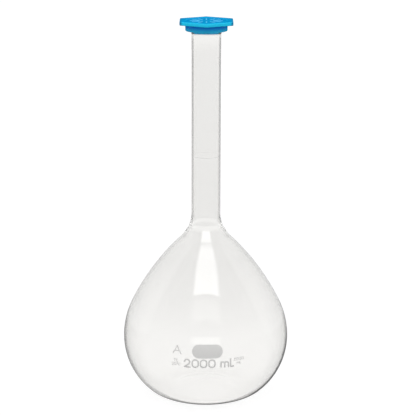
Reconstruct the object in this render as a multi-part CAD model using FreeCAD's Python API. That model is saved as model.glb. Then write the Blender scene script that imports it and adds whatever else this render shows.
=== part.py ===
import FreeCAD, Part
import math
import os

# A two-litre volumetric flask of clear glass with a plastic snap cap. Millimetres, +Z up.
# The origin is the centre of the base, on the surface that the flask stands on. The print faces -Y.

# Bulb: the outside of the glass is a chain of tangent arcs, from the foot up to the root of the neck.
bulb_radius = 80.3
belly_height = 56.3             # height of the widest circle
foot_inset = 40.5               # from the widest circle in to the edge of the flat foot
base_corner_radius = 28.0
upper_belly_radius = 76.4
shoulder_radius = 230.0
shoulder_start = 25.7           # degrees above the widest circle at which the shoulder arc takes over
bulb_wall = 2.2
foot_width = 6.0                # flat ring that the flask stands on
push_up = 3.0                   # rise of the base inside that ring

# Neck: a tube with a flared root, fused to the bulb at the seal, and a tooled lip at the top.
neck_radius = 13.9
neck_wall = 1.5
root_radius = 33.0              # outside of the sweep from the tube out to the shoulder
seal_turn = 24.0                # degrees down that sweep from the tube to the seal
rim_height = 362.0              # top of the glass above the base
lip_overhang = 4.1              # how far the lip stands out from the tube
lip_round = 2.2
lip_flare_radius = 8.75
mouth_relief = 0.25             # the bore opens a little behind the lip
mouth_spare = 6.0               # how far that goes on past the end of the cap's plug
mouth_cone = 2.0
mouth_round = 1.4

# Cap: a hexagonal flange, a skirt with a snap lip outside the glass and a hollow plug inside it.
seat_gap = 0.15
snap_clearance = 0.15
skirt_relief = 0.3
skirt_wall = 1.35
skirt_height = 6.3
snap_lip_height = 1.6
skirt_chamfer = 0.4
plug_clearance = 0.08
plug_wall = 1.4
plug_length = 7.0
plug_lead = 1.2
plug_taper = 0.6
flange_overhang = 5.2           # from the skirt to the flats of the hexagon
flange_thickness = 3.5
flange_corner_round = 2.0
flange_edge_round = 0.6
flange_sides = 6
flange_rim = 6.0                # border left round the dish in the top
dish_depth = 1.2
rib_count = 12                  # short ribs on the floor of the dish
rib_start = 7.0
rib_length = 8.5
rib_width = 1.4
rib_height = 0.8

# Fired enamel: thin marks that lie on the glass.
enamel_gap = 0.02
enamel_thickness = 0.12
line_above_seal = 70.0
line_width = 0.4
print_turn = 1.3                # degrees that the print is turned about the flask's axis
print_depth = 30.0              # how deep a letter's cutter reaches in from outside the bulb
letter_spacing = 0.28           # gap between letters, in letter heights
number_size = {"height": 7.4, "stroke": 1.4}
class_size = {"height": 7.2, "stroke": 1.0}
note_size = {"height": 2.5, "stroke": 0.48}
row_foot = -4.75                # foot of the large lettering, from the widest circle up
number_along = -7.2             # middle of the number, measured round the bulb
unit_gap = 5.7
left_note_gap = 4.2
right_note_gap = 0.4
left_note_foot = 0.7            # foot of a note's lower line, from the foot of the row up
right_note_foot = 1.9
note_step = 3.7
class_gap = 5.5                 # from the left note up to the class letter
class_shift = 0.9               # and from the middle of that note round to the letter's own
spot_length = 28.7
spot_height = 13.0
spot_gap = 0.8                  # from the number up to the spot

# Plain stroke letters, one unit high. A stroke runs from point to point in straight lines,
# and a pair of points stands for an arc through the first to the second.
alphabet = {
    "0": [[(0, 0.39), ((0.39, 0), (0.78, 0.39)), (0.78, 0.61), ((0.39, 1), (0, 0.61)), (0, 0.39)]],
    "2": [[(0, 0.71), ((0.35, 1), (0.62, 0.5)), (0, 0), (0.7, 0)]],
    "5": [[(0.56, 1), (0.1, 1), (0.06, 0.55), ((0.6, 0.32), (0, 0.1))]],
    "A": [[(0, 0), (0.54, 1), (1.08, 0)], [(0.19, 0.36), (0.89, 0.36)]],
    "C": [[(0.7, 0.79), ((0.37, 1), (0, 0.63)), (0, 0.37), ((0.37, 0), (0.7, 0.21))]],
    "L": [[(0, 1), (0, 0), (0.42, 0)]],
    "T": [[(0, 1), (0.64, 1)], [(0.32, 1), (0.32, 0)]],
    "m": [
        [(0, 0), (0, 0.68)],
        [(0, 0.44), ((0.24, 0.68), (0.48, 0.44)), (0.48, 0)],
        [(0.48, 0.44), ((0.72, 0.68), (0.96, 0.44)), (0.96, 0)],
    ],
    ".": [[(0, 0), (0.04, 0)]],
    "°": [[(0, 0.82), ((0.18, 0.64), (0.36, 0.82)), ((0.18, 1), (0, 0.82))]],
    "±": [[(0.3, 1), (0.3, 0.4)], [(0, 0.7), (0.6, 0.7)], [(0, 0), (0.6, 0)]],
}

origin = FreeCAD.Vector(0, 0, 0)
upward = FreeCAD.Vector(0, 0, 1)


def at(radius, height):
    return FreeCAD.Vector(radius, 0, height)


def polar(centre, radius, degrees):
    turn = math.radians(degrees)
    return centre + at(radius * math.cos(turn), radius * math.sin(turn))


def line(start, end):
    return Part.LineSegment(start, end).toShape()


def arc(centre, radius, start, end):
    points = [polar(centre, radius, degrees) for degrees in (start, (start + end) / 2, end)]
    return Part.Arc(*points).toShape()


def first_point(edges):
    return edges[0].valueAt(edges[0].FirstParameter)


def last_point(edges):
    return edges[-1].valueAt(edges[-1].LastParameter)


def revolve(edges):
    face = Part.Face(Part.Wire(Part.__sortEdges__(edges)))
    return face.revolve(origin, upward, 360)


# The ring or shell between two outlines that both run upwards.
def revolve_between(outside, inside):
    bottom = line(first_point(outside), first_point(inside))
    top = line(last_point(outside), last_point(inside))
    return revolve(outside + [top] + inside + [bottom])


def revolve_corners(corners):
    return revolve([line(a, b) for a, b in zip(corners, corners[1:] + corners[:1])])


# Worked out: the arcs of the bulb touch one another where they meet.
corner_centre = at(bulb_radius - foot_inset, base_corner_radius)
lower_rise = belly_height - base_corner_radius
lower_belly_radius = (foot_inset ** 2 + lower_rise ** 2 - base_corner_radius ** 2) / (
    2 * (foot_inset - base_corner_radius))
lower_start = -math.degrees(math.asin(lower_rise / (lower_belly_radius - base_corner_radius)))
lower_centre = at(bulb_radius - lower_belly_radius, belly_height)
upper_centre = at(bulb_radius - upper_belly_radius, belly_height)
shoulder_centre = polar(upper_centre, upper_belly_radius - shoulder_radius, shoulder_start)

# Worked out: the root of the neck touches the shoulder and the tube, and the seal crosses it.
root_reach = neck_radius + root_radius - shoulder_centre.x
root_rise = math.sqrt((shoulder_radius + root_radius) ** 2 - root_reach ** 2)
root_centre = shoulder_centre + at(root_reach, root_rise)
root_angle = math.degrees(math.atan2(root_rise, root_reach))
seal_height = polar(root_centre, root_radius, 180 + seal_turn).z
line_height = seal_height + line_above_seal

# Worked out: the fits between the cap and the glass.
lip_radius = neck_radius + lip_overhang
bore_radius = neck_radius - neck_wall
mouth_radius = bore_radius + mouth_relief
plug_radius = mouth_radius - plug_clearance
snap_lip_radius = lip_radius + snap_clearance
skirt_bore_radius = snap_lip_radius + skirt_relief
skirt_radius = skirt_bore_radius + skirt_wall
flange_half_width = skirt_radius + flange_overhang
plate_bottom = rim_height + seat_gap
plate_top = plate_bottom + flange_thickness
mouth_bottom = plate_bottom - plug_length - mouth_spare


# The root, set in from the outside of the glass: its centre, its radius and the angle of its lower end.
# It touches the shoulder and the tube, each set in by its own wall.
def root_arc(bulb_inset, neck_inset):
    height = shoulder_centre.z + shoulder_radius * math.sin(math.radians(root_angle))
    angle = math.degrees(math.asin((height - shoulder_centre.z) / (shoulder_radius - bulb_inset)))
    end = polar(shoulder_centre, shoulder_radius - bulb_inset, angle)
    radius = (end.x - neck_radius + neck_inset) / (1 - math.cos(math.radians(angle)))
    return polar(end, radius, angle), radius, angle


# The part of the root below the seal, which belongs to the bulb, and the part above it.
def split_root(bulb_inset, neck_inset):
    centre, radius, angle = root_arc(bulb_inset, neck_inset)
    seal = math.degrees(math.asin((centre.z - seal_height) / radius))
    return arc(centre, radius, 180 + angle, 180 + seal), arc(centre, radius, 180 + seal, 180)


# The belly of the bulb, set in from the outside of the glass.
def belly(inset):
    return [
        arc(lower_centre, lower_belly_radius - inset, lower_start, 0),
        arc(upper_centre, upper_belly_radius - inset, 0, shoulder_start),
    ]


# The bulb from the middle of the base up to the seal, set in from the outside of the glass.
def bulb_outline(inset, neck_inset):
    dome_edge = corner_centre.x - foot_width
    dome_radius = (dome_edge ** 2 + push_up ** 2) / (2 * push_up)
    dome_centre = at(0, push_up - dome_radius)
    dome_end = math.degrees(math.asin((inset - dome_centre.z) / (dome_radius + inset)))
    dome = arc(dome_centre, dome_radius + inset, 90, dome_end)
    corner = arc(corner_centre, base_corner_radius - inset, -90, lower_start)
    foot = line(last_point([dome]), first_point([corner]))
    shoulder_end = root_arc(inset, neck_inset)[2]
    shoulder = arc(shoulder_centre, shoulder_radius - inset, shoulder_start, shoulder_end)
    collar = split_root(inset, neck_inset)[0]
    return [dome, foot, corner] + belly(inset) + [shoulder, collar]


def make_bulb():
    return revolve_between(bulb_outline(0, 0), bulb_outline(bulb_wall, neck_wall))


def make_neck():
    # The round of the lip touches the flare, which touches the tube.
    lip_centre = at(lip_radius - lip_round, rim_height - lip_round)
    flare_reach = neck_radius + lip_flare_radius - lip_centre.x
    flare_drop = math.sqrt((lip_flare_radius + lip_round) ** 2 - flare_reach ** 2)
    flare_centre = lip_centre + at(flare_reach, -flare_drop)
    lip_start = -math.degrees(math.atan2(flare_drop, flare_reach))
    outside = [
        split_root(0, 0)[1],
        line(at(neck_radius, root_centre.z), at(neck_radius, flare_centre.z)),
        arc(flare_centre, lip_flare_radius, 180, 180 + lip_start),
        arc(lip_centre, lip_round, lip_start, 90),
    ]
    root = split_root(bulb_wall, neck_wall)[1]
    bore_top = at(bore_radius, mouth_bottom - mouth_cone)
    mouth_centre = at(mouth_radius + mouth_round, rim_height - mouth_round)
    inside = [
        root,
        line(last_point([root]), bore_top),
        line(bore_top, at(mouth_radius, mouth_bottom)),
        line(at(mouth_radius, mouth_bottom), at(mouth_radius, mouth_centre.z)),
        arc(mouth_centre, mouth_round, 180, 90),
    ]
    return revolve_between(outside, inside)


def make_skirt():
    bottom = plate_bottom - skirt_height
    lip_top = bottom + snap_lip_height
    return revolve_corners([
        at(skirt_bore_radius, plate_bottom),
        at(skirt_bore_radius, lip_top + skirt_relief),
        at(snap_lip_radius, lip_top),
        at(snap_lip_radius, bottom + skirt_chamfer),
        at(snap_lip_radius + skirt_chamfer, bottom),
        at(skirt_radius - skirt_chamfer, bottom),
        at(skirt_radius, bottom + skirt_chamfer),
        at(skirt_radius, plate_bottom),
    ])


def make_plug():
    bottom = plate_bottom - plug_length
    return revolve_corners([
        at(plug_radius - plug_wall, plate_bottom),
        at(plug_radius - plug_wall, bottom),
        at(plug_radius - plug_taper, bottom),
        at(plug_radius, bottom + plug_lead),
        at(plug_radius, plate_bottom),
    ])


def make_flange():
    step = 360 / flange_sides
    reach = at(flange_half_width / math.cos(math.radians(step / 2)), plate_bottom)
    turns = [FreeCAD.Rotation(upward, step * (n + 0.5)) for n in range(flange_sides)]
    corners = [turn.multVec(reach) for turn in turns]
    plate = Part.Face(Part.makePolygon(corners + corners[:1])).extrude(at(0, flange_thickness))
    upright = [edge for edge in plate.Edges if edge.BoundBox.ZLength > flange_thickness / 2]
    plate = plate.makeFillet(flange_corner_round, upright)
    level = [edge for edge in plate.Edges if edge.BoundBox.ZLength < flange_thickness / 2]
    return plate.makeFillet(flange_edge_round, level)


# The dish in the top of the flange, with a ring of ribs standing on its floor.
def cut_dish(flange):
    floor = plate_top - dish_depth
    dish = Part.makeCylinder(flange_half_width - flange_rim, dish_depth, at(0, floor))
    for number in range(rib_count):
        corner = FreeCAD.Vector(rib_start, -rib_width / 2, floor)
        rib = Part.makeBox(rib_length, rib_width, rib_height, corner)
        rib.rotate(origin, upward, number * 360 / rib_count)
        dish = dish.cut(rib)
    return flange.cut(dish)


def make_snap_cap():
    return cut_dish(make_flange()).fuse([make_skirt(), make_plug()]).removeSplitter()


def make_graduation_line():
    bottom = at(0, line_height - line_width / 2)
    inner = neck_radius + enamel_gap
    ring = Part.makeCylinder(inner + enamel_thickness, line_width, bottom)
    return ring.cut(Part.makeCylinder(inner, line_width, bottom))


# A skin on the belly of the bulb, out of which the marks are cut.
def make_enamel_skin():
    return revolve_between(belly(-enamel_gap - enamel_thickness), belly(-enamel_gap))


# A bar with round ends between two points, as a flat face.
def round_bar(start, end, width):
    along = (end - start).normalize() * (width / 2)
    across = along.cross(FreeCAD.Vector(0, 1, 0))
    edges = [
        line(start + across, end + across),
        Part.Arc(end + across, end + along, end - across).toShape(),
        line(end - across, start - across),
        Part.Arc(start - across, start - along, start + across).toShape(),
    ]
    return Part.Face(Part.Wire(edges))


# One stroke of a letter as a flat face, at the letter's height and stroke width.
def stroke_face(stroke, size):
    def place(point):
        return at(*point) * size["height"]

    edges = []
    start = place(stroke[0])
    for step in stroke[1:]:
        if isinstance(step[0], tuple):
            end = place(step[1])
            edges.append(Part.Arc(start, place(step[0]), end).toShape())
        else:
            end = place(step)
            edges.append(line(start, end))
        start = end
    half = size["stroke"] / 2
    if len(edges) == 1:
        return round_bar(first_point(edges), last_point(edges), size["stroke"])
    wire = Part.Wire(edges)
    if wire.isClosed():
        return Part.Face(wire.makeOffset2D(half)).cut(Part.Face(wire.makeOffset2D(-half)))
    return wire.makeOffset2D(half, 0, True)


# A flat face, drawn about x = 0, made into a cutter and carried round the bulb to its place.
def cutter(face, along, above_belly):
    block = face.extrude(FreeCAD.Vector(0, print_depth, 0))
    block.translate(FreeCAD.Vector(0, -bulb_radius - print_depth / 2, belly_height + above_belly))
    block.rotate(origin, upward, print_turn + math.degrees(along / bulb_radius))
    return block


def joined(solids):
    whole = solids[0]
    for solid in solids[1:]:
        whole = whole.fuse(solid)
    return whole


def letter_width(letter):
    steps = [step for stroke in alphabet[letter] for step in stroke]
    points = [step[1] if isinstance(step[0], tuple) else step for step in steps]
    return max(point[0] for point in points)


def text_width(text, size):
    gaps = letter_spacing * (len(text) - 1)
    return (sum(letter_width(letter) for letter in text) + gaps) * size["height"]


# A line of letters cut out of the skin, with its middle so far round the bulb from the print's own middle.
def letters(skin, text, size, along, foot):
    solids = []
    left = along - text_width(text, size) / 2
    for letter in text:
        width = letter_width(letter) * size["height"]
        blocks = []
        for stroke in alphabet[letter]:
            face = stroke_face(stroke, size)
            face.translate(at(-width / 2, 0))
            blocks.append(cutter(face, left + width / 2, foot))
        solids += skin.common(joined(blocks)).removeSplitter().Solids
        left += width + letter_spacing * size["height"]
    return solids


# All the lettering: the number and its unit in one row, a two-line note at each end of it, and the class
# letter above the left note.
def make_lettering(skin):
    left_lines = ["20°C", "TC"]
    right_lines = ["mL", "±0.50"]
    number_width = text_width("2000", number_size)
    unit_width = text_width("mL", number_size)
    unit_along = number_along + number_width / 2 + unit_gap + unit_width / 2
    left_width = max(text_width(text, note_size) for text in left_lines)
    right_width = max(text_width(text, note_size) for text in right_lines)
    left_along = number_along - number_width / 2 - left_note_gap - left_width / 2
    right_along = unit_along + unit_width / 2 + right_note_gap + right_width / 2
    class_foot = row_foot + left_note_foot + note_step + note_size["height"] + class_gap

    def note(lines, along, foot):
        solids = []
        for number, text in enumerate(lines):
            solids += letters(skin, text, note_size, along, row_foot + foot + note_step * number)
        return solids

    return {
        "capacity_number": letters(skin, "2000", number_size, number_along, row_foot),
        "capacity_unit": letters(skin, "mL", number_size, unit_along, row_foot),
        "class_mark": letters(skin, "A", class_size, left_along + class_shift, class_foot),
        "temperature_note": note(left_lines, left_along, left_note_foot),
        "tolerance_note": note(right_lines, right_along, right_note_foot),
    }


def make_marking_spot(skin):
    half = (spot_length - spot_height) / 2
    face = round_bar(at(-half, 0), at(half, 0), spot_height)
    number_top = row_foot + number_size["height"] + number_size["stroke"] / 2
    return skin.common(cutter(face, 0, number_top + spot_gap + spot_height / 2))


# What the flask holds when it is filled to the line, in millilitres.
def capacity():
    root = split_root(bulb_wall, neck_wall)[1]
    bore = line(last_point([root]), at(bore_radius, line_height))
    wetted = bulb_outline(bulb_wall, neck_wall) + [root, bore]
    surface = line(last_point(wetted), at(0, line_height))
    middle_line = line(at(0, line_height), first_point(wetted))
    return revolve(wetted + [surface, middle_line]).Volume / 1000


enamel_skin = make_enamel_skin()
nodes = {
    "bulb": make_bulb(),
    "neck": make_neck(),
    "snap_cap": make_snap_cap(),
    "graduation_line": make_graduation_line(),
    "marking_spot": make_marking_spot(enamel_skin),
}
for name, solids in make_lettering(enamel_skin).items():
    nodes[name] = Part.makeCompound(solids)

os.makedirs("parts", exist_ok=True)
for name, shape in nodes.items():
    shape.exportStep("parts/" + name + ".step")
    print(name, len(shape.Solids), "solids,", round(shape.Volume, 1), "mm3,", shape.isValid())
print("seal", round(seal_height, 1), "line", round(line_height, 1), "capacity", round(capacity(), 1), "mL")
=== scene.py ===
import math

import bpy
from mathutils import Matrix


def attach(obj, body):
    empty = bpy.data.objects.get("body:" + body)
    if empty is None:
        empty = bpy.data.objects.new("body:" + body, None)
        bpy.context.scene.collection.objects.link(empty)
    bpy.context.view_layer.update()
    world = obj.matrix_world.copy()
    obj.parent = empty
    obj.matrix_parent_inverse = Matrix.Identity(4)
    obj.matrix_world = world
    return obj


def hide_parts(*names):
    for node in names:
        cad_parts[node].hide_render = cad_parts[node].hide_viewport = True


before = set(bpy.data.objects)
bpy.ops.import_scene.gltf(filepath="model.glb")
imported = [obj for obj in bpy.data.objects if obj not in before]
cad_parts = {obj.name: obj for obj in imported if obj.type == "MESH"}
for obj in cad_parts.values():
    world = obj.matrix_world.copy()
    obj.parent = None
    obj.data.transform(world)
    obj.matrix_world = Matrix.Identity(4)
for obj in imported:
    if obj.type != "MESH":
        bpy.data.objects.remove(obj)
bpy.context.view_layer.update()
print("frame loaded")


# shader maths

class Wire:
    def __init__(self, tree, socket=None):
        self.tree = tree
        self.socket = socket

    def node(self, kind, settings=None, sockets=None, out=0):
        made = self.tree.nodes.new(kind)
        for name, value in (settings or {}).items():
            if name == "stops":
                ramp = made.color_ramp.elements
                while len(ramp) < len(value):
                    ramp.new(0.5)
                for stop, (place, colour) in zip(ramp, value):
                    stop.position = place
                    stop.color = colour
            else:
                setattr(made, name, value)
        for name, value in (sockets or {}).items():
            if isinstance(value, Wire):
                self.tree.links.new(value.socket, made.inputs[name])
            else:
                made.inputs[name].default_value = value
        return Wire(self.tree, made.outputs[out] if made.outputs else None)

    def math(self, operation, *values):
        return self.node("ShaderNodeMath", {"operation": operation}, dict(enumerate(values)))

    def __add__(self, other):
        return self.math("ADD", self, other)

    def __radd__(self, other):
        return self.math("ADD", other, self)

    def __sub__(self, other):
        return self.math("SUBTRACT", self, other)

    def __rsub__(self, other):
        return self.math("SUBTRACT", other, self)

    def __mul__(self, other):
        return self.math("MULTIPLY", self, other)

    def __rmul__(self, other):
        return self.math("MULTIPLY", other, self)

    def __truediv__(self, other):
        return self.math("DIVIDE", self, other)

    def __pow__(self, other):
        return self.math("POWER", self, other)

    def __abs__(self):
        return self.math("ABSOLUTE", self)

    def larger(self, other):
        return self.math("MAXIMUM", self, other)

    def along(self, axis):  # one coordinate of a place
        return self.node("ShaderNodeSeparateXYZ", sockets={0: self}, out=axis)

    def step(self, low, high):  # soft step from 0 at low to 1 at high, which may be wires
        return self.node("ShaderNodeMapRange", {"interpolation_type": "SMOOTHSTEP"},
                         {"Value": self, "From Min": low, "From Max": high})

    def blend(self, first, second):  # two colours mixed by this value
        return self.node("ShaderNodeMix", {"data_type": "RGBA"}, {0: self, 6: first, 7: second}, out=2)


def newMaterial(name):
    made = bpy.data.materials.new(name)
    made.use_nodes = True
    made.node_tree.nodes.clear()
    return made, Wire(made.node_tree)


def between(span, amount):  # from the first number of a pair to the second
    first, second = span
    return first + (second - first) * amount


def distance(x, y):
    return (x * x + y * y) ** 0.5


def facingOf(wire):  # 0 where the surface faces the eye, 1 where it is seen edge on
    return wire.node("ShaderNodeLayerWeight", sockets={"Blend": 0.5}, out="Facing")


def noise(place, scale, detail):
    return place.node("ShaderNodeTexNoise", sockets={"Vector": place, "Scale": scale, "Detail": detail})


def bumped(height, strength, depth):
    return height.node("ShaderNodeBump", sockets={"Strength": strength, "Distance": depth, "Height": height})


# modelling helpers

mergeGap = 1e-6
levelGap = 2e-5  # points this near in height are one ring
speck = 0.001  # a small plane that is merged into one point


def deselectAll():
    if bpy.context.object and bpy.context.object.mode != "OBJECT":
        bpy.ops.object.mode_set(mode="OBJECT")
    bpy.ops.object.select_all(action="DESELECT")


def pick(piece):
    deselectAll()
    piece.select_set(True)
    bpy.context.view_layer.objects.active = piece


def unmark(mesh):  # nothing is left selected for edit mode
    for part in (mesh.polygons, mesh.edges, mesh.vertices):
        for item in part:
            item.select = False


def rename(piece, name):
    piece.name = name
    piece.data.name = name


def polar(centre, radius, degrees):
    turn = math.radians(degrees)
    return centre[0] + radius * math.cos(turn), centre[1] + radius * math.sin(turn)


class Outline:  # a half section drawn in the XZ plane, point by point, then turned on the lathe
    def __init__(self, name, radius, height):
        deselectAll()
        bpy.ops.mesh.primitive_plane_add(size=speck, location=(0, 0, 0))
        self.piece = bpy.context.object
        rename(self.piece, name)
        bpy.context.tool_settings.mesh_select_mode = (True, False, False)
        bpy.ops.object.mode_set(mode="EDIT")
        bpy.ops.mesh.merge(type="CENTER")
        bpy.ops.transform.translate(value=(radius, 0, height))
        self.at = (radius, height)

    def turn(self, centre, degrees, steps):
        angle = math.radians(degrees)
        bpy.ops.mesh.spin(steps=steps, angle=angle, center=(centre[0], 0, centre[1]), axis=(0, 1, 0))
        across = self.at[0] - centre[0]
        up = self.at[1] - centre[1]
        self.at = (centre[0] + across * math.cos(angle) - up * math.sin(angle),
                   centre[1] + across * math.sin(angle) + up * math.cos(angle))

    def run(self, radius, height, steps=1):
        move = ((radius - self.at[0]) / steps, 0, (height - self.at[1]) / steps)
        for number in range(steps):
            bpy.ops.mesh.extrude_region_move(TRANSFORM_OT_translate={"value": move})
        self.at = (radius, height)

    def lathe(self, segments):
        bpy.ops.mesh.select_all(action="SELECT")
        bpy.ops.mesh.remove_doubles(threshold=mergeGap)  # a ring's outline closes on its first point
        bpy.ops.mesh.spin(steps=segments, angle=math.radians(360), center=(0, 0, 0), axis=(0, 0, 1))
        bpy.ops.mesh.select_all(action="SELECT")
        bpy.ops.mesh.remove_doubles(threshold=mergeGap)
        bpy.ops.mesh.normals_make_consistent(inside=False)
        bpy.ops.object.mode_set(mode="OBJECT")
        return self.piece


# flask glass: bulb and neck as one blown and fused shell

glass = {
    "bulbRadius": 0.0803, "bellyHeight": 0.0563, "footInset": 0.0405, "baseCorner": 0.028,
    "upperBelly": 0.0764, "shoulder": 0.23, "shoulderStart": 25.7, "bulbWall": 0.0022,
    "footWidth": 0.006, "pushUp": 0.003,
    "neckRadius": 0.0139, "neckWall": 0.0015, "root": 0.033, "sealTurn": 24.0,
    "rimHeight": 0.362, "lipOverhang": 0.0041, "lipRound": 0.0022, "lipFlare": 0.00875,
    "mouthRelief": 0.00025, "mouthBottom": 0.34915, "mouthCone": 0.002, "mouthRound": 0.0014,
    "swellHeight": 0.162, "swell": 0.00042, "swellReach": 0.006,
    "sealGroove": 0.0002, "sealBead": 0.0003, "sealReach": 0.0022,
    "domeSteps": 10, "footSteps": 2, "cornerSteps": 16, "lowerSteps": 14, "upperSteps": 10,
    "shoulderSteps": 14, "rootSteps": 24, "tubeSteps": 12, "flareSteps": 10, "lipSteps": 16,
    "mouthSteps": 8, "reliefSteps": 2, "segments": 176,
}


def solveFlask(spec):  # where the arcs of the outline touch one another
    spec["cornerCentre"] = (spec["bulbRadius"] - spec["footInset"], spec["baseCorner"])
    rise = spec["bellyHeight"] - spec["baseCorner"]
    gap = spec["footInset"] - spec["baseCorner"]
    lowerBelly = (spec["footInset"] ** 2 + rise ** 2 - spec["baseCorner"] ** 2) / (2 * gap)
    spec["lowerCentre"] = (spec["bulbRadius"] - lowerBelly, spec["bellyHeight"])
    spec["lowerStart"] = -math.degrees(math.asin(rise / (lowerBelly - spec["baseCorner"])))
    spec["upperCentre"] = (spec["bulbRadius"] - spec["upperBelly"], spec["bellyHeight"])
    toShoulder = spec["upperBelly"] - spec["shoulder"]
    spec["shoulderCentre"] = polar(spec["upperCentre"], toShoulder, spec["shoulderStart"])
    reach = spec["neckRadius"] + spec["root"] - spec["shoulderCentre"][0]
    climb = math.sqrt((spec["shoulder"] + spec["root"]) ** 2 - reach ** 2)
    spec["rootAngle"] = math.degrees(math.atan2(climb, reach))
    sealDrop = spec["root"] * math.sin(math.radians(spec["sealTurn"]))
    spec["sealHeight"] = spec["shoulderCentre"][1] + climb - sealDrop
    domeEdge = spec["cornerCentre"][0] - spec["footWidth"]
    spec["domeRadius"] = (domeEdge ** 2 + spec["pushUp"] ** 2) / (2 * spec["pushUp"])
    spec["domeCentre"] = (0, spec["pushUp"] - spec["domeRadius"])


def rootOf(spec, bulbInset, neckInset):  # centre, lower angle and seal angle of the sweep to the tube
    rise = spec["shoulder"] * math.sin(math.radians(spec["rootAngle"]))
    angle = math.degrees(math.asin(rise / (spec["shoulder"] - bulbInset)))
    end = polar(spec["shoulderCentre"], spec["shoulder"] - bulbInset, angle)
    radius = (end[0] - spec["neckRadius"] + neckInset) / (1 - math.cos(math.radians(angle)))
    centre = polar(end, radius, angle)
    return centre, angle, math.degrees(math.asin((centre[1] - spec["sealHeight"]) / radius))


def domeEnd(spec, inset):
    return math.degrees(math.asin((inset - spec["domeCentre"][1]) / (spec["domeRadius"] + inset)))


def drawOutside(outline, spec):  # from the middle of the base up to the lip
    outline.turn(spec["domeCentre"], domeEnd(spec, 0) - 90, spec["domeSteps"])
    outline.run(spec["cornerCentre"][0], 0, spec["footSteps"])
    outline.turn(spec["cornerCentre"], spec["lowerStart"] + 90, spec["cornerSteps"])
    outline.turn(spec["lowerCentre"], -spec["lowerStart"], spec["lowerSteps"])
    outline.turn(spec["upperCentre"], spec["shoulderStart"], spec["upperSteps"])
    centre, angle, seal = rootOf(spec, 0, 0)
    outline.turn(spec["shoulderCentre"], angle - spec["shoulderStart"], spec["shoulderSteps"])
    outline.turn(centre, seal - angle, spec["rootSteps"])
    outline.turn(centre, -seal, spec["rootSteps"])
    lipCentre = (spec["neckRadius"] + spec["lipOverhang"] - spec["lipRound"],
                 spec["rimHeight"] - spec["lipRound"])
    reach = spec["neckRadius"] + spec["lipFlare"] - lipCentre[0]
    drop = math.sqrt((spec["lipFlare"] + spec["lipRound"]) ** 2 - reach ** 2)
    lipStart = -math.degrees(math.atan2(drop, reach))
    flareCentre = (spec["neckRadius"] + spec["lipFlare"], lipCentre[1] - drop)
    outline.run(spec["neckRadius"], flareCentre[1], spec["tubeSteps"])
    outline.turn(flareCentre, lipStart, spec["flareSteps"])
    outline.turn(lipCentre, 90 - lipStart, spec["lipSteps"])


def drawInside(outline, spec):  # down the mouth and the bore, and back to the middle of the base
    wall = spec["bulbWall"]
    bore = spec["neckRadius"] - spec["neckWall"]
    mouth = bore + spec["mouthRelief"]
    mouthCentre = (mouth + spec["mouthRound"], spec["rimHeight"] - spec["mouthRound"])
    outline.run(mouthCentre[0], spec["rimHeight"])
    outline.turn(mouthCentre, 90, spec["mouthSteps"])
    outline.run(mouth, spec["mouthBottom"], spec["reliefSteps"])
    outline.run(bore, spec["mouthBottom"] - spec["mouthCone"])
    centre, angle, seal = rootOf(spec, wall, spec["neckWall"])
    outline.run(bore, centre[1], spec["tubeSteps"])
    outline.turn(centre, seal, spec["rootSteps"])
    outline.turn(centre, angle - seal, spec["rootSteps"])
    outline.turn(spec["shoulderCentre"], spec["shoulderStart"] - angle, spec["shoulderSteps"])
    outline.turn(spec["upperCentre"], -spec["shoulderStart"], spec["upperSteps"])
    outline.turn(spec["lowerCentre"], spec["lowerStart"], spec["lowerSteps"])
    outline.turn(spec["cornerCentre"], -90 - spec["lowerStart"], spec["cornerSteps"])
    domeTop = polar(spec["domeCentre"], spec["domeRadius"] + wall, domeEnd(spec, wall))
    outline.run(*domeTop, spec["footSteps"])
    outline.turn(spec["domeCentre"], 90 - domeEnd(spec, wall), spec["domeSteps"])


def markInside(piece, spec):  # the faces of the inner wall take the second material
    for face in piece.data.polygons:
        x, y, z = face.center
        if z < spec["baseCorner"] / 2 and math.hypot(x, y) < spec["cornerCentre"][0]:
            inner = face.normal.z > 0
        else:
            inner = face.normal.x * x + face.normal.y * y < 0
        face.material_index = 1 if inner else 0


# a ring of one wall moves out or in, and its neighbours follow softly
def pushRing(piece, height, inner, change, reach):
    mesh = piece.data
    faces = [face for face in mesh.polygons if (face.material_index == 1) == inner]
    wall = {number for face in faces for number in face.vertices}
    level = min((mesh.vertices[number].co.z for number in wall), key=lambda z: abs(z - height))
    pick(piece)
    unmark(mesh)
    for number in wall:
        mesh.vertices[number].select = abs(mesh.vertices[number].co.z - level) < levelGap
    radius = max(math.hypot(point.co.x, point.co.y) for point in mesh.vertices if point.select)
    factor = 1 + change / radius
    bpy.ops.object.mode_set(mode="EDIT")
    bpy.ops.transform.resize(value=(factor, factor, 1), center_override=(0, 0, level),
                             use_proportional_edit=True, use_proportional_connected=True,
                             proportional_edit_falloff="SMOOTH", proportional_size=reach)
    bpy.ops.object.mode_set(mode="OBJECT")


def makeFlask(spec):
    solveFlask(spec)
    outline = Outline("flask_glass", 0, spec["pushUp"])
    drawOutside(outline, spec)
    drawInside(outline, spec)
    piece = outline.lathe(spec["segments"])
    markInside(piece, spec)
    # both walls swell below the seal, which has a groove outside and a bead inside
    for inner in (False, True):
        pushRing(piece, spec["swellHeight"], inner, spec["swell"], spec["swellReach"])
    pushRing(piece, spec["sealHeight"], False, -spec["sealGroove"], spec["sealReach"])
    pushRing(piece, spec["sealHeight"], True, -spec["sealBead"], spec["sealReach"])
    bpy.ops.object.shade_smooth()
    return piece


flask = makeFlask(glass)
print("flask glass", len(flask.data.vertices), "points")

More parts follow.
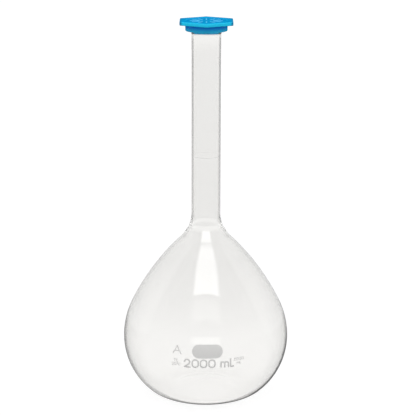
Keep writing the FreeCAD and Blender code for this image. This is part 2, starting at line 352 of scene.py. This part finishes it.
glassLook = {
    "ior": 1.47, "roughness": 0.0, "tint": (1.0, 0.992, 0.972),
    "insideTone": (0.985, 0.985, 0.985, 1), "shadowTint": (0.95, 0.95, 0.95, 1),
    # each list gives values at heights up to the top: first the wall's tone, painted darker on the shoulders
    # and neck with a paler band at the seal, as painted light and shade
    "top": 0.362,
    "paintedTones": [(0.00, 1.0), (0.02, 0.95), (0.04, 0.88), (0.05, 0.83), (0.06, 0.812), (0.10, 0.788),
              (0.138, 0.735), (0.147, 0.765), (0.162, 0.765), (0.1645, 0.745), (0.1667, 0.88),
              (0.1695, 0.88), (0.1713, 0.71), (0.1735, 0.75), (0.20, 0.755), (0.335, 0.79), (0.35, 0.86)],
    # then the painted shade: how much darker the bulb's sides, its outline and the tube's sides are painted
    "paintedShades": [(0.00, 0.0), (0.012, 0.03), (0.03, 0.135), (0.04, 0.135), (0.05, 0.11), (0.065, 0.06),
               (0.08, 0.10), (0.095, 0.12), (0.11, 0.085), (0.125, 0.055), (0.145, 0.03), (0.17, 0.0)],
    "shadeFacing": (0.30, 0.75),
    "outlineShades": [(0.00, 0.96), (0.004, 0.90), (0.010, 0.26), (0.02, 0.22), (0.03, 0.40), (0.045, 0.50),
              (0.06, 0.46), (0.075, 0.30), (0.095, 0.0)],
    "lineFacing": (0.69, 0.89), "lowFacing": (0.02, 0.175), "lowHeight": (0.012, 0.028),
    "tubeShades": [(0.170, 0.0), (0.178, 0.27), (0.205, 0.34), (0.26, 0.41), (0.33, 0.46), (0.347, 0.43),
              (0.354, 0.15)],
    "tubeFacing": (0.42, 0.57), "tubeClears": (0.80, 0.98),
    # a finer and darker painted shade line low on the right side
    "rightShadeLine": 0.94, "rightSide": (0.0, 0.05), "rightHeight": (0.045, 0.075), "rightFacing": (0.77, 0.83),
    "rightEase": 0.6,
    "rootClear": [(0.115, 0.0), (0.135, 1.0), (0.182, 1.0), (0.19, 0.0)], "rootFacing": (0.25, 0.35),
    "rootTint": (0.90, 0.90, 0.89, 1),
    "waves": 70.0, "waveDetail": 1.0, "waveStrength": 0.5, "waveDepth": 0.00002,
}


def byHeight(height, look, name):  # a value that changes with height
    stops = [(place / look["top"], (value, value, value, 1)) for place, value in look[name]]
    return height.node("ShaderNodeValToRGB", {"stops": stops}, {0: height / look["top"]})


def paintedEdgeShade(look, across, height, facing):  # painted shade: the glass is coloured darker where the eye runs along the wall
    tubeShade = byHeight(height, look, "tubeShades") * facing.step(*look["tubeFacing"])
    tubeShade = tubeShade * (1 - facing.step(*look["tubeClears"]))
    shade = byHeight(height, look, "paintedShades") * facing.step(*look["shadeFacing"])
    low = 1 - height.step(*look["lowHeight"])
    # painted shade: the right side is darker low down
    rightShade = across.step(*look["rightSide"]) * (1 - height.step(*look["rightHeight"]))
    lineFrom, lineTo = look["lineFacing"]
    lowFrom, lowTo = look["lowFacing"]
    outlineShade = byHeight(height, look, "outlineShades") * facing.step(lineFrom - lowFrom * low, lineTo - lowTo * low)
    outlineShade = outlineShade * (1 - look["rightEase"] * rightShade * (1 - low))
    dark = look["rightShadeLine"] * rightShade * facing.step(*look["rightFacing"])
    return (1 - tubeShade) * (1 - shade) * (1 - outlineShade) * (1 - dark)


def glassShader(wire, look, sockets):
    clear = {"Roughness": look["roughness"], "IOR": look["ior"], "Transmission Weight": 1.0}
    return wire.node("ShaderNodeBsdfPrincipled", sockets={**clear, **sockets})


def letLightThrough(wire, look, shader):  # clear glass throws hardly any shadow
    clear = wire.node("ShaderNodeBsdfTransparent", sockets={"Color": look["shadowTint"]})
    shadow = wire.node("ShaderNodeLightPath", out="Is Shadow Ray")
    surface = wire.node("ShaderNodeMixShader", sockets={0: shadow, 1: shader, 2: clear})
    wire.node("ShaderNodeOutputMaterial", sockets={"Surface": surface})


def makeOuterGlass(look):
    made, wire = newMaterial("clear_glass_outside")
    place = wire.node("ShaderNodeTexCoord", out="Object")
    height = place.along("Z")
    facing = facingOf(wire)
    edge = paintedEdgeShade(look, place.along("X"), height, facing)
    # painted light and shade: the base colour is the painted tone times the painted edge shade, squared
    paintedTone = byHeight(height, look, "paintedTones") * edge * edge
    colour = wire.node("ShaderNodeVectorMath", {"operation": "SCALE"}, {0: look["tint"], "Scale": paintedTone})
    waves = noise(place, look["waves"], look["waveDetail"])
    bump = bumped(waves, look["waveStrength"], look["waveDepth"])
    shader = glassShader(wire, look, {"Base Color": colour, "Normal": bump})
    # light caught in the thick root leaves where it meets the outer wall
    within = wire.node("ShaderNodeNewGeometry", out="Backfacing")
    root = within * byHeight(height, look, "rootClear") * facing.step(*look["rootFacing"])
    seen = wire.node("ShaderNodeBsdfTransparent", sockets={"Color": look["rootTint"]})
    letLightThrough(wire, look, wire.node("ShaderNodeMixShader", sockets={0: root, 1: shader, 2: seen}))
    return made


def makeInnerGlass(look):
    made, wire = newMaterial("clear_glass_inside")
    letLightThrough(wire, look, glassShader(wire, look, {"Base Color": look["insideTone"]}))
    return made


flask.data.materials.append(makeOuterGlass(glassLook))
flask.data.materials.append(makeInnerGlass(glassLook))
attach(flask, "flask")
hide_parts("bulb", "neck")


# fired enamel on the CAD marks

enamelLook = {
    "light": (0.96, 0.955, 0.94, 1), "dark": (0.85, 0.845, 0.83, 1), "cover": 1.0,
    "grain": 2600.0, "grainDetail": 3.0, "patches": (0.35, 0.65),
    "roughness": 0.55, "grainRoughness": 0.2, "bump": 0.2, "bumpDepth": 0.00003,
}
lineLook = {**enamelLook, "light": (0.96, 0.96, 0.96, 1), "dark": (0.90, 0.90, 0.90, 1), "cover": 0.13}


def makeEnamel(name, look):
    made, wire = newMaterial(name)
    grain = noise(wire.node("ShaderNodeTexCoord", out="Object"), look["grain"], look["grainDetail"])
    surface = wire.node("ShaderNodeBsdfPrincipled", sockets={
        "Base Color": grain.step(*look["patches"]).blend(look["dark"], look["light"]),
        "Roughness": look["roughness"] + look["grainRoughness"] * grain,
        "Alpha": look["cover"], "Normal": bumped(grain, look["bump"], look["bumpDepth"])})
    wire.node("ShaderNodeOutputMaterial", sockets={"Surface": surface})
    return made


def paint(node, material):
    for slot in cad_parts[node].material_slots:
        slot.material = material


enamel = makeEnamel("fired_enamel_grain", enamelLook)
for mark in ("marking_spot", "capacity_number", "capacity_unit", "class_mark",
             "temperature_note", "tolerance_note"):
    paint(mark, enamel)
paint("graduation_line", makeEnamel("fired_enamel_line", lineLook))
print("enamel marks")


# snap cap

cap = {
    "plateBottom": 0.36215, "plateTop": 0.36565, "halfWidth": 0.025, "sides": 6,
    "cornerRound": 0.002, "cornerSegments": 6, "edgeRound": 0.0006, "edgeSegments": 4,
    "dishRadius": 0.019, "dishDepth": 0.0012, "dishSegments": 96,
    "ribs": 12, "ribStart": 0.007, "ribLength": 0.0085, "ribWidth": 0.0014, "ribHeight": 0.0008,
    "ribRound": 0.28, "ribSegments": 3,
    "gateRadius": 0.0016, "gateHeight": 0.0004, "gateSegments": 24,
    "skirtRadius": 0.0198, "skirtBore": 0.01845, "snapLip": 0.01815, "skirtBottom": 0.35585,
    "snapLipHeight": 0.0016, "skirtRelief": 0.0003, "skirtChamfer": 0.0004, "skirtSegments": 96,
    "plugRadius": 0.01257, "plugWall": 0.0014, "plugBottom": 0.35515, "plugLead": 0.0012,
    "plugTaper": 0.0006, "plugSegments": 80,
    "embed": 0.0008, "softEdge": 0.0002, "softSegments": 2, "softAngle": 40, "smoothAngle": 35,
}


def dishFloor(spec):
    return spec["plateTop"] - spec["dishDepth"]


def selectEdges(piece, wanted):
    pick(piece)
    unmark(piece.data)
    bpy.context.tool_settings.mesh_select_mode = (False, True, False)
    points = piece.data.vertices
    for edge in piece.data.edges:
        edge.select = wanted(*[points[number].co for number in edge.vertices])
    bpy.ops.object.mode_set(mode="EDIT")


def settle(piece):  # the place goes into the mesh
    pick(piece)
    bpy.ops.object.transform_apply(location=True, rotation=True, scale=True)


def combine(piece, other, operation):
    pick(piece)
    modifier = piece.modifiers.new("combine", "BOOLEAN")
    modifier.operation = operation
    modifier.solver = "EXACT"
    modifier.object = other
    bpy.ops.object.modifier_apply(modifier=modifier.name)
    bpy.data.objects.remove(other)


def makeDisc(radius, bottom, top, vertices):
    deselectAll()
    bpy.ops.mesh.primitive_cylinder_add(vertices=vertices, radius=radius, depth=top - bottom,
                                        location=(0, 0, (bottom + top) / 2))
    disc = bpy.context.object
    settle(disc)
    return disc


def makePlate(spec):
    thick = spec["plateTop"] - spec["plateBottom"]
    halfSide = math.radians(180 / spec["sides"])
    plate = makeDisc(spec["halfWidth"] / math.cos(halfSide), spec["plateBottom"], spec["plateTop"],
                     spec["sides"])
    rename(plate, "snap_cap_moulding")
    selectEdges(plate, lambda a, b: abs(a.z - b.z) > thick / 2)
    bpy.ops.mesh.bevel(offset=spec["cornerRound"] * math.tan(halfSide), segments=spec["cornerSegments"],
                       affect="EDGES")
    selectEdges(plate, lambda a, b: abs(a.z - b.z) < thick / 2)
    bpy.ops.mesh.bevel(offset=spec["edgeRound"], segments=spec["edgeSegments"], affect="EDGES")
    return plate


def makeRibs(spec):  # one rib is shaped, then copied round the dish
    floor = dishFloor(spec)
    tall = spec["ribHeight"] + spec["embed"]
    middle = (spec["ribStart"] + spec["ribLength"] / 2, 0, floor + spec["ribHeight"] - tall / 2)
    deselectAll()
    bpy.ops.mesh.primitive_cube_add(size=1, location=middle)
    first = bpy.context.object
    first.scale = (spec["ribLength"], spec["ribWidth"], tall)
    settle(first)
    selectEdges(first, lambda a, b: a.z > floor or b.z > floor)
    bpy.ops.mesh.bevel(offset=spec["ribWidth"] * spec["ribRound"], segments=spec["ribSegments"],
                       affect="EDGES")
    ribs = [first]
    for number in range(1, spec["ribs"]):
        pick(first)
        bpy.ops.object.duplicate(linked=False)
        rib = bpy.context.object
        bpy.ops.transform.rotate(value=math.radians(number * 360 / spec["ribs"]), orient_axis="Z",
                                 center_override=(0, 0, 0))
        settle(rib)
        ribs.append(rib)
    pick(first)
    for rib in ribs:
        rib.select_set(True)
    bpy.ops.object.join()
    return first


def makeSkirt(spec):
    top = spec["plateBottom"] + spec["embed"]
    lipTop = spec["skirtBottom"] + spec["snapLipHeight"]
    chamfer = spec["skirtChamfer"]
    outline = Outline("skirt", spec["skirtBore"], top)
    outline.run(spec["skirtBore"], lipTop + spec["skirtRelief"])
    outline.run(spec["snapLip"], lipTop)
    outline.run(spec["snapLip"], spec["skirtBottom"] + chamfer)
    outline.run(spec["snapLip"] + chamfer, spec["skirtBottom"])
    outline.run(spec["skirtRadius"] - chamfer, spec["skirtBottom"])
    outline.run(spec["skirtRadius"], spec["skirtBottom"] + chamfer)
    outline.run(spec["skirtRadius"], top)
    outline.run(spec["skirtBore"], top)
    return outline.lathe(spec["skirtSegments"])


def makePlug(spec):
    top = spec["plateBottom"] + spec["embed"]
    hollow = spec["plugRadius"] - spec["plugWall"]
    outline = Outline("plug", hollow, top)
    outline.run(hollow, spec["plugBottom"])
    outline.run(spec["plugRadius"] - spec["plugTaper"], spec["plugBottom"])
    outline.run(spec["plugRadius"], spec["plugBottom"] + spec["plugLead"])
    outline.run(spec["plugRadius"], top)
    outline.run(hollow, top)
    return outline.lathe(spec["plugSegments"])


def makeCap(spec):
    floor = dishFloor(spec)
    embed = spec["embed"]
    piece = makePlate(spec)
    dish = makeDisc(spec["dishRadius"], floor, spec["plateTop"] + embed, spec["dishSegments"])
    combine(piece, dish, "DIFFERENCE")
    combine(piece, makeRibs(spec), "UNION")
    gate = makeDisc(spec["gateRadius"], floor - embed, floor + spec["gateHeight"], spec["gateSegments"])
    combine(piece, gate, "UNION")
    combine(piece, makeSkirt(spec), "UNION")
    combine(piece, makePlug(spec), "UNION")
    pick(piece)
    edges = piece.modifiers.new("soft_edges", "BEVEL")
    edges.width = spec["softEdge"]
    edges.segments = spec["softSegments"]
    edges.limit_method = "ANGLE"
    edges.angle_limit = math.radians(spec["softAngle"])
    bpy.ops.object.modifier_apply(modifier=edges.name)
    bpy.ops.object.shade_smooth_by_angle(angle=math.radians(spec["smoothAngle"]))
    return piece


capPiece = makeCap(cap)
print("snap cap", len(capPiece.data.polygons), "faces")

capLook = {
    "light": (0.005, 0.355, 0.70, 1), "dark": (0.003, 0.30, 0.63, 1),
    # painted light and shade: paler outer edges, lighter rib tops and darker far edges and tips
    "litRim": (0.018, 0.66, 1.0, 1), "ribs": (0.10, 0.62, 0.98, 1), "ends": (0.010, 0.28, 0.54, 1),
    # painted shade on the skirt: deeper under the flange, paler at its foot
    "skirtShadedTop": (0.001, 0.22, 1.0, 1), "skirtLitFoot": (0.03, 0.62, 1.0, 1),
    "cloud": 160.0, "clouds": (0.3, 0.7), "grain": 3000.0, "noiseDetail": 2.0,
    "rimReach": 1.5, "underReach": 0.5, "ribFoot": 0.3,  # parts of the edge's round and of a rib's height
    "endsFrom": (0.004, 0.012), "borderIn": (0.003, 0.001),
    "dishEdgeGlint": 0.55, "brinkFrom": (-0.0002, 0.0001), "brinkTo": (0.0002, 0.0009),
    "roughness": 0.42, "grainRoughness": 0.12, "bump": 0.15, "bumpDepth": 0.00005,
    "gloss": 0.3, "glossRoughness": 0.25, "glossFades": (0.35, 0.75),
}


def toFlats(x, y):  # distance out to the flats of the hexagon
    half, slant = 0.5, math.sqrt(0.75)  # cosine and sine of 60 degrees
    first = abs(half * x + slant * y)
    second = abs(half * x - slant * y)
    return first.larger(second).larger(abs(x))


# painted light and shade: the outer edges are painted paler as though lit through the thin plastic, the far
# edges, flange tips and the skirt under the flange darker, and the rib tops and the dish's edge lighter
def capColour(look, spec, place):
    x = place.along("X")
    y = place.along("Y")
    z = place.along("Z")
    cloud = noise(place, look["cloud"], look["noiseDetail"])
    colour = cloud.step(*look["clouds"]).blend(look["dark"], look["light"])
    out = toFlats(x, y)
    # painted light: the outer edge faces are painted paler
    litRim = out.step(spec["halfWidth"] - look["rimReach"] * spec["edgeRound"], spec["halfWidth"])
    colour = litRim.blend(colour, look["litRim"])
    border = [spec["halfWidth"] - inset for inset in look["borderIn"]]
    # painted shade: the far edge and the flange tips are painted darker
    shadedFar = y.step(*look["endsFrom"]) * out.step(*border)
    colour = shadedFar.larger(abs(x).step(*border)).blend(colour, look["ends"])
    floor = dishFloor(spec)
    radius = distance(x, y)
    inDish = 1 - radius.step(*[spec["dishRadius"] - inset for inset in look["borderIn"]])
    # painted highlight: the rib tops are painted lighter
    ribGlint = z.step(floor + look["ribFoot"] * spec["ribHeight"], floor + spec["ribHeight"]) * inDish
    colour = ribGlint.blend(colour, look["ribs"])
    # painted highlight: a thin pale ring along the dish's edge
    dishEdgeGlint = radius.step(*[spec["dishRadius"] + outset for outset in look["brinkFrom"]])
    dishEdgeGlint = dishEdgeGlint * (1 - radius.step(*[spec["dishRadius"] + outset for outset in look["brinkTo"]]))
    colour = (look["dishEdgeGlint"] * dishEdgeGlint * z.step(floor, spec["plateTop"])).blend(colour, look["litRim"])
    # painted shade: the skirt is painted deeper under the flange and paler at its foot
    skirt = z.step(spec["skirtBottom"], spec["plateBottom"]).blend(look["skirtLitFoot"], look["skirtShadedTop"])
    under = 1 - z.step(spec["plateBottom"] - look["underReach"] * spec["edgeRound"], spec["plateBottom"])
    return under.blend(colour, skirt)


def makePolyethylene(look, spec):
    made, wire = newMaterial("blue_polyethylene_moulded")
    place = wire.node("ShaderNodeTexCoord", out="Object")
    grain = noise(place, look["grain"], look["noiseDetail"])
    surface = wire.node("ShaderNodeBsdfPrincipled", sockets={
        "Base Color": capColour(look, spec, place), "Specular IOR Level": 0.0,
        "Roughness": look["roughness"] + look["grainRoughness"] * grain,
        "Coat Weight": look["gloss"] * (1 - facingOf(wire).step(*look["glossFades"])),
        "Coat Roughness": look["glossRoughness"], "Normal": bumped(grain, look["bump"], look["bumpDepth"])})
    wire.node("ShaderNodeOutputMaterial", sockets={"Surface": surface})
    return made


capPiece.data.materials.append(makePolyethylene(capLook, cap))
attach(capPiece, "cap")
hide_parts("snap_cap")


# stage: white floor, studio light, camera

white = (1, 1, 1, 1)


class Rays:  # what kind of ray looks at the stage
    def __init__(self, wire):
        self.camera = wire.node("ShaderNodeLightPath", out="Is Camera Ray")
        self.through = wire.node("ShaderNodeLightPath", out="Is Transmission Ray")
        self.mirrored = wire.node("ShaderNodeLightPath", out="Is Glossy Ray") * (1 - self.through)


ground = {
    "size": 14.0, "gap": 0.0002, "colour": (0.3, 0.3, 0.3, 1),
    "seen": (0.80, 0.88), "away": (0.6, 2.0), "through": 0.90, "mirrored": (0.08, 0.55), "behind": (0.2, 0.5),
}


def makeFloor(spec):
    deselectAll()
    bpy.ops.mesh.primitive_plane_add(size=spec["size"], location=(0, 0, -spec["gap"]))
    floor = bpy.context.object
    floor.name = "floor"
    made, wire = newMaterial("white_floor")
    rays = Rays(wire)
    place = wire.node("ShaderNodeTexCoord", out="Object")
    x = place.along("X")
    y = place.along("Y")
    seen = between(spec["seen"], distance(x, y).step(*spec["away"]))
    mirrored = between(spec["mirrored"], y.step(*spec["behind"]))
    glow = rays.camera * seen + rays.through * spec["through"] + rays.mirrored * mirrored
    surface = wire.node("ShaderNodeBsdfPrincipled", sockets={
        "Base Color": spec["colour"], "Roughness": 1.0, "Specular IOR Level": 0.0,
        "Emission Color": white, "Emission Strength": glow})
    wire.node("ShaderNodeOutputMaterial", sockets={"Surface": surface})
    made.cycles.emission_sampling = "NONE"
    floor.data.materials.append(made)


sky = {
    "light": 1.0, "overhead": (0.1, 0.65), "overheadDim": 0.45, "frontEdge": (-0.05, 0.05),
    "mirrored": (0.45, 0.15), "through": (1.0, 0.65), "wallBehind": 0.85,
    "panelTurn": 112.0, "panelGlow": 0.8, "panelSide": (0.955, 0.998), "panelFoot": (0.2, 0.4),
    "panelHead": (0.5, 0.75),
    "box": {"side": (0.272, 0.392), "foot": (0.748, 0.758), "head": (0.955, 0.978), "glow": 4.9},
    "boxShift": 0.02, "boxTaper": 0.125, "taperMiddle": 0.78, "taperReach": 0.19,
    "backLight": {"side": (0.28, 0.42), "foot": (0.54, 0.60), "head": (0.70, 0.76), "glow": 1.6},
    "bend": 0.33,
}


# white behind the glass, dimmer overhead, with a softbox and side panels for what it mirrors
def makeWorld(spec):
    world = bpy.data.worlds.new("studio")
    world.use_nodes = True
    world.node_tree.nodes.clear()
    wire = Wire(world.node_tree)
    rays = Rays(wire)
    place = wire.node("ShaderNodeTexCoord", out="Generated")
    side = place.along("X")
    back = place.along("Y")
    up = place.along("Z")
    overhead = up.step(*spec["overhead"])
    front = 1 - back.step(*spec["frontEdge"])
    crown = up + spec["bend"] * side * side

    def patch(window, across):  # a soft-edged window in the front half of the sky
        lit = front * (1 - across.step(*window["side"])) * crown.step(*window["foot"])
        return window["glow"] * lit * (1 - crown.step(*window["head"]))

    taper = ((up - spec["taperMiddle"]) / spec["taperReach"]) ** 3
    box = patch(spec["box"], abs(side - spec["boxShift"]) + spec["boxTaper"] * taper)
    turn = math.radians(spec["panelTurn"])
    toPanel = (abs(side) * math.sin(turn) - back * math.cos(turn)) / distance(side, back)
    panel = toPanel.step(*spec["panelSide"]) * up.step(*spec["panelFoot"])
    panel = panel * (1 - up.step(*spec["panelHead"])) * spec["panelGlow"]
    plain = spec["light"] * (1 - spec["overheadDim"] * overhead)
    mirrored = (between(spec["mirrored"], overhead) + panel + box) * front
    mirrored = mirrored + spec["wallBehind"] * (1 - front)
    through = between(spec["through"], overhead) + patch(spec["backLight"], abs(side))
    strength = plain + rays.camera * (1 - plain) + rays.through * (through - plain)
    strength = strength + rays.mirrored * (mirrored - plain)
    light = wire.node("ShaderNodeBackground", sockets={"Color": white, "Strength": strength})
    wire.node("ShaderNodeOutputWorld", sockets={"Surface": light})
    bpy.context.scene.world = world


softbox = {"at": (0.03, -0.585, 1.343), "aim": (0.03, 0.228, 0.761), "size": (1.04, 0.705), "glow": 3.0}


def addSoftbox(spec):
    deselectAll()
    bpy.ops.object.light_add(type="AREA", location=spec["at"])
    lamp = bpy.context.object
    lamp.name = "front_softbox"
    lamp.data.shape = "RECTANGLE"
    lamp.data.size, lamp.data.size_y = spec["size"]
    lamp.data.energy = spec["glow"] * math.pi * spec["size"][0] * spec["size"][1]
    x, y, z = [b - a for a, b in zip(spec["at"], spec["aim"])]
    tilt = math.pi / 2 + math.atan2(z, math.hypot(x, y))
    lamp.rotation_euler = (tilt, 0, math.atan2(y, x) - math.pi / 2)
    lamp.visible_camera = False
    lamp.visible_glossy = False
    lamp.visible_transmission = False


view = {
    "at": (0.0015, -1.3522, 0.5375), "down": 14.608, "roll": 0.17,
    "focalPixels": 1450, "imagePixels": 415, "sensor": 36, "reach": 100,
}


def addCamera(spec):
    deselectAll()
    bpy.ops.object.camera_add(location=spec["at"])
    camera = bpy.context.object
    camera.rotation_mode = "ZXY"
    camera.rotation_euler = (math.radians(90 - spec["down"]), 0, math.radians(spec["roll"]))
    camera.data.sensor_width = spec["sensor"]
    camera.data.lens = spec["sensor"] * spec["focalPixels"] / spec["imagePixels"]
    camera.data.clip_end = spec["reach"]
    bpy.context.scene.camera = camera


makeFloor(ground)
makeWorld(sky)
addSoftbox(softbox)
addCamera(view)
bpy.context.scene.view_settings.view_transform = "Standard"
print("stage")
